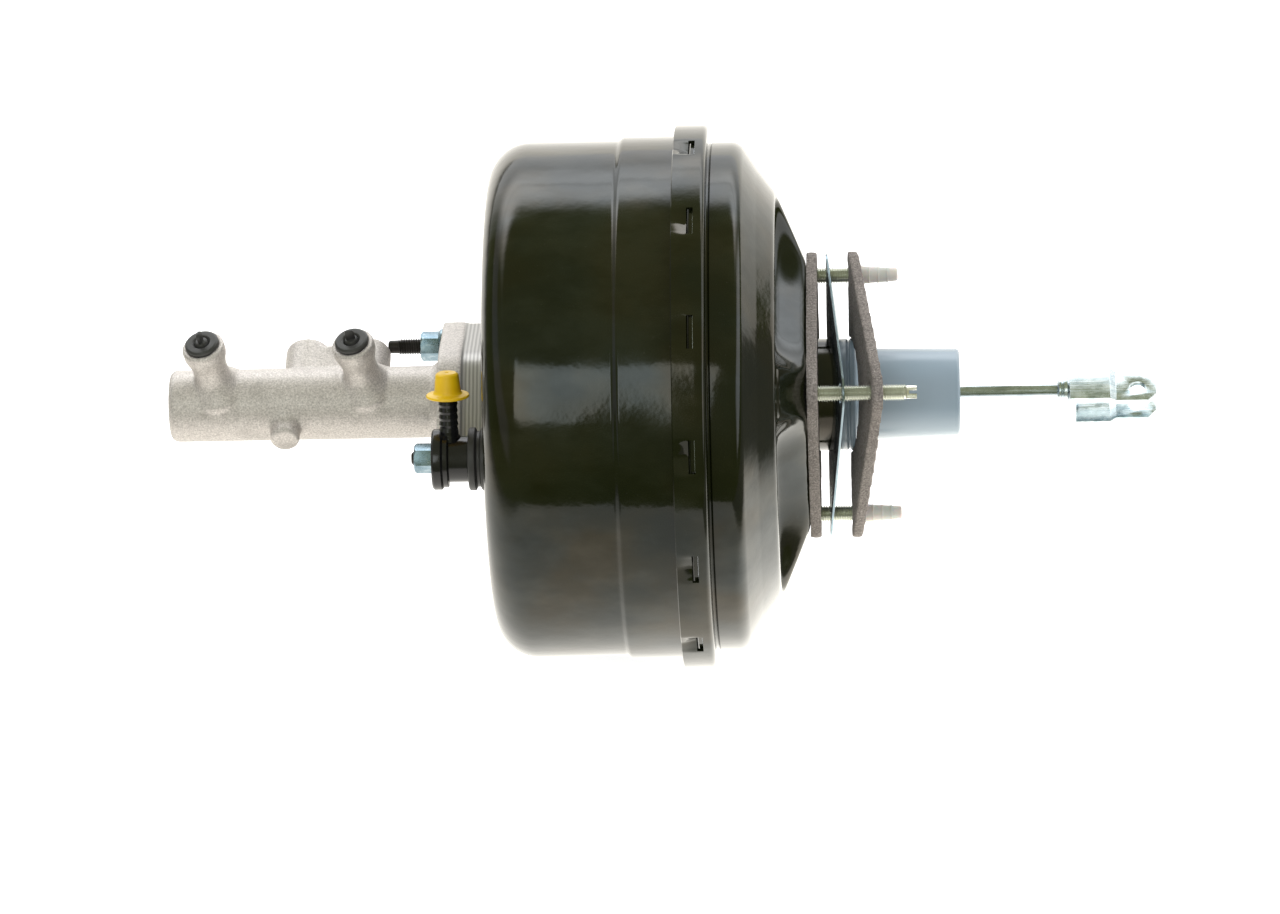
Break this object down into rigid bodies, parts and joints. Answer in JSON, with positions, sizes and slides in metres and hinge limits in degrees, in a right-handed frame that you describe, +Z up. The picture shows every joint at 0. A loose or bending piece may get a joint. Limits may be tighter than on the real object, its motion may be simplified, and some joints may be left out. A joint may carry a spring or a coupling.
{
  "type": "brake booster",
  "caption": "Tandem vacuum brake booster with master cylinder: lanced steel shells, firewall studs, foam gaskets, dust boot and push rod with clevis.",
  "frame": {"origin": "centre of the rear shell's mounting pad face, on the booster axis", "axes": "+X along the booster axis towards the brake pedal, +Z up the plane of the reservoir necks, +Y to the outlets' side"},
  "size_m": [0.4924, 0.2714, 0.2714],
  "materials": {
    "black_coat": "gloss black electrocoat on drawn steel",
    "zinc_sheet": "zinc plated pressed sheet",
    "seal_rubber": "moulded rubber",
    "phenolic": "glass filled moulded plastic",
    "bearing_plastic": "moulded bearing plastic",
    "filter_foam": "open cell foam",
    "plated_steel": "turned and zinc plated",
    "spring_steel": "drawn wire and hardened strip",
    "olive_zinc": "olive passivated zinc threads",
    "cap_plastic": "translucent polyethylene",
    "gasket_foam": "closed cell foam",
    "blue_steel": "blued spring steel sheet",
    "boot_rubber": "smooth grey-blue rubber",
    "rod_zinc": "bright zinc on turned steel",
    "clevis_zinc": "bright zinc on pressed steel",
    "cast_aluminium": "shot blasted casting, turned seat",
    "black_steel": "black finished thread",
    "nut_zinc": "blue-grey zinc",
    "grommet_rubber": "moulded rubber",
    "plug_rubber": "soft moulded plug",
    "piston_aluminium": "turned and anodised",
    "valve_plastic": "gloss black nylon",
    "yellow_plastic": "soft yellow vinyl"
  },
  "bodies": {
    "housing": {"front_shell": "black_coat", "rear_shell": "black_coat", "divider_plate": "zinc_sheet", "divider_seal": "seal_rubber", "front_diaphragm": "seal_rubber", "rear_diaphragm": "seal_rubber", "neck_bearing": "bearing_plastic", "neck_seal": "seal_rubber", "return_spring": "spring_steel", "firewall_studs": "olive_zinc", "stud_caps": "cap_plastic", "pad_gasket": "gasket_foam", "spring_plate": "blue_steel", "outer_gasket": "gasket_foam", "boot": "boot_rubber", "cylinder_casting": "cast_aluminium", "cylinder_studs": "black_steel", "flange_nuts": "nut_zinc", "cylinder_o_ring": "seal_rubber", "reservoir_grommets": "grommet_rubber", "port_plugs": "plug_rubber", "circlip": "spring_steel", "stop_pin": "plated_steel", "secondary_spring": "spring_steel", "check_valve_body": "valve_plastic", "check_valve_grommet": "grommet_rubber", "check_valve_spring": "spring_steel", "hose_cap": "yellow_plastic"},
    "power_piston": {"valve_body": "phenolic", "front_support_plate": "zinc_sheet", "rear_support_plate": "zinc_sheet", "stop_key": "spring_steel", "poppet": "seal_rubber", "poppet_retainer": "plated_steel", "poppet_spring": "spring_steel", "rod_spring": "spring_steel", "reaction_disc": "seal_rubber", "output_rod": "plated_steel", "retainer_cup": "zinc_sheet", "air_filter": "filter_foam"},
    "plunger": {"valve_plunger": "plated_steel"},
    "push_rod": {"push_rod": "rod_zinc", "collar_nut": "rod_zinc", "clevis": "clevis_zinc"},
    "primary_piston": {"primary_piston": "piston_aluminium", "primary_cups": "seal_rubber", "primary_spring": "spring_steel"},
    "secondary_piston": {"secondary_piston": "piston_aluminium", "secondary_cups": "seal_rubber"},
    "check_disc": {"check_valve_disc": "seal_rubber"}
  },
  "joints": [
    {"name": "piston_slide", "type": "slide", "parent": "housing", "child": "power_piston", "axis": [-1, 0, 0], "range_m": [0, 0.03], "stiffness_N_per_m": 4000, "springref_m": -0.02, "deforming": ["front_diaphragm", "rear_diaphragm", "return_spring"]},
    {"name": "plunger_slide", "type": "slide", "parent": "power_piston", "child": "plunger", "axis": [-1, 0, 0], "range_m": [0, 0.0015], "stiffness_N_per_m": 3000, "springref_m": -0.005, "deforming": ["rod_spring"]},
    {"name": "rod_swing", "type": "hinge", "parent": "plunger", "child": "push_rod", "pos_m": [-0.017, 0, 0], "axis": [0, 0, 1], "range_deg": [-1.5, 1.5], "deforming": ["rod_spring"]},
    {"name": "primary_slide", "type": "slide", "parent": "housing", "child": "primary_piston", "axis": [-1, 0, 0], "range_m": [0, 0.03], "deforming": ["primary_spring"]},
    {"name": "secondary_slide", "type": "slide", "parent": "housing", "child": "secondary_piston", "axis": [-1, 0, 0], "range_m": [0, 0.015], "deforming": ["secondary_spring", "primary_spring"]},
    {"name": "disc_slide", "type": "slide", "parent": "housing", "child": "check_disc", "axis": [-1, 0, 0], "range_m": [0, 0.0025], "stiffness_N_per_m": 100, "springref_m": -0.001, "deforming": ["check_valve_spring"]}
  ],
  "couplings": [
    {"joint": "primary_slide", "follows": "piston_slide", "ratio": 1},
    {"joint": "secondary_slide", "follows": "piston_slide", "ratio": 0.5}
  ]
}
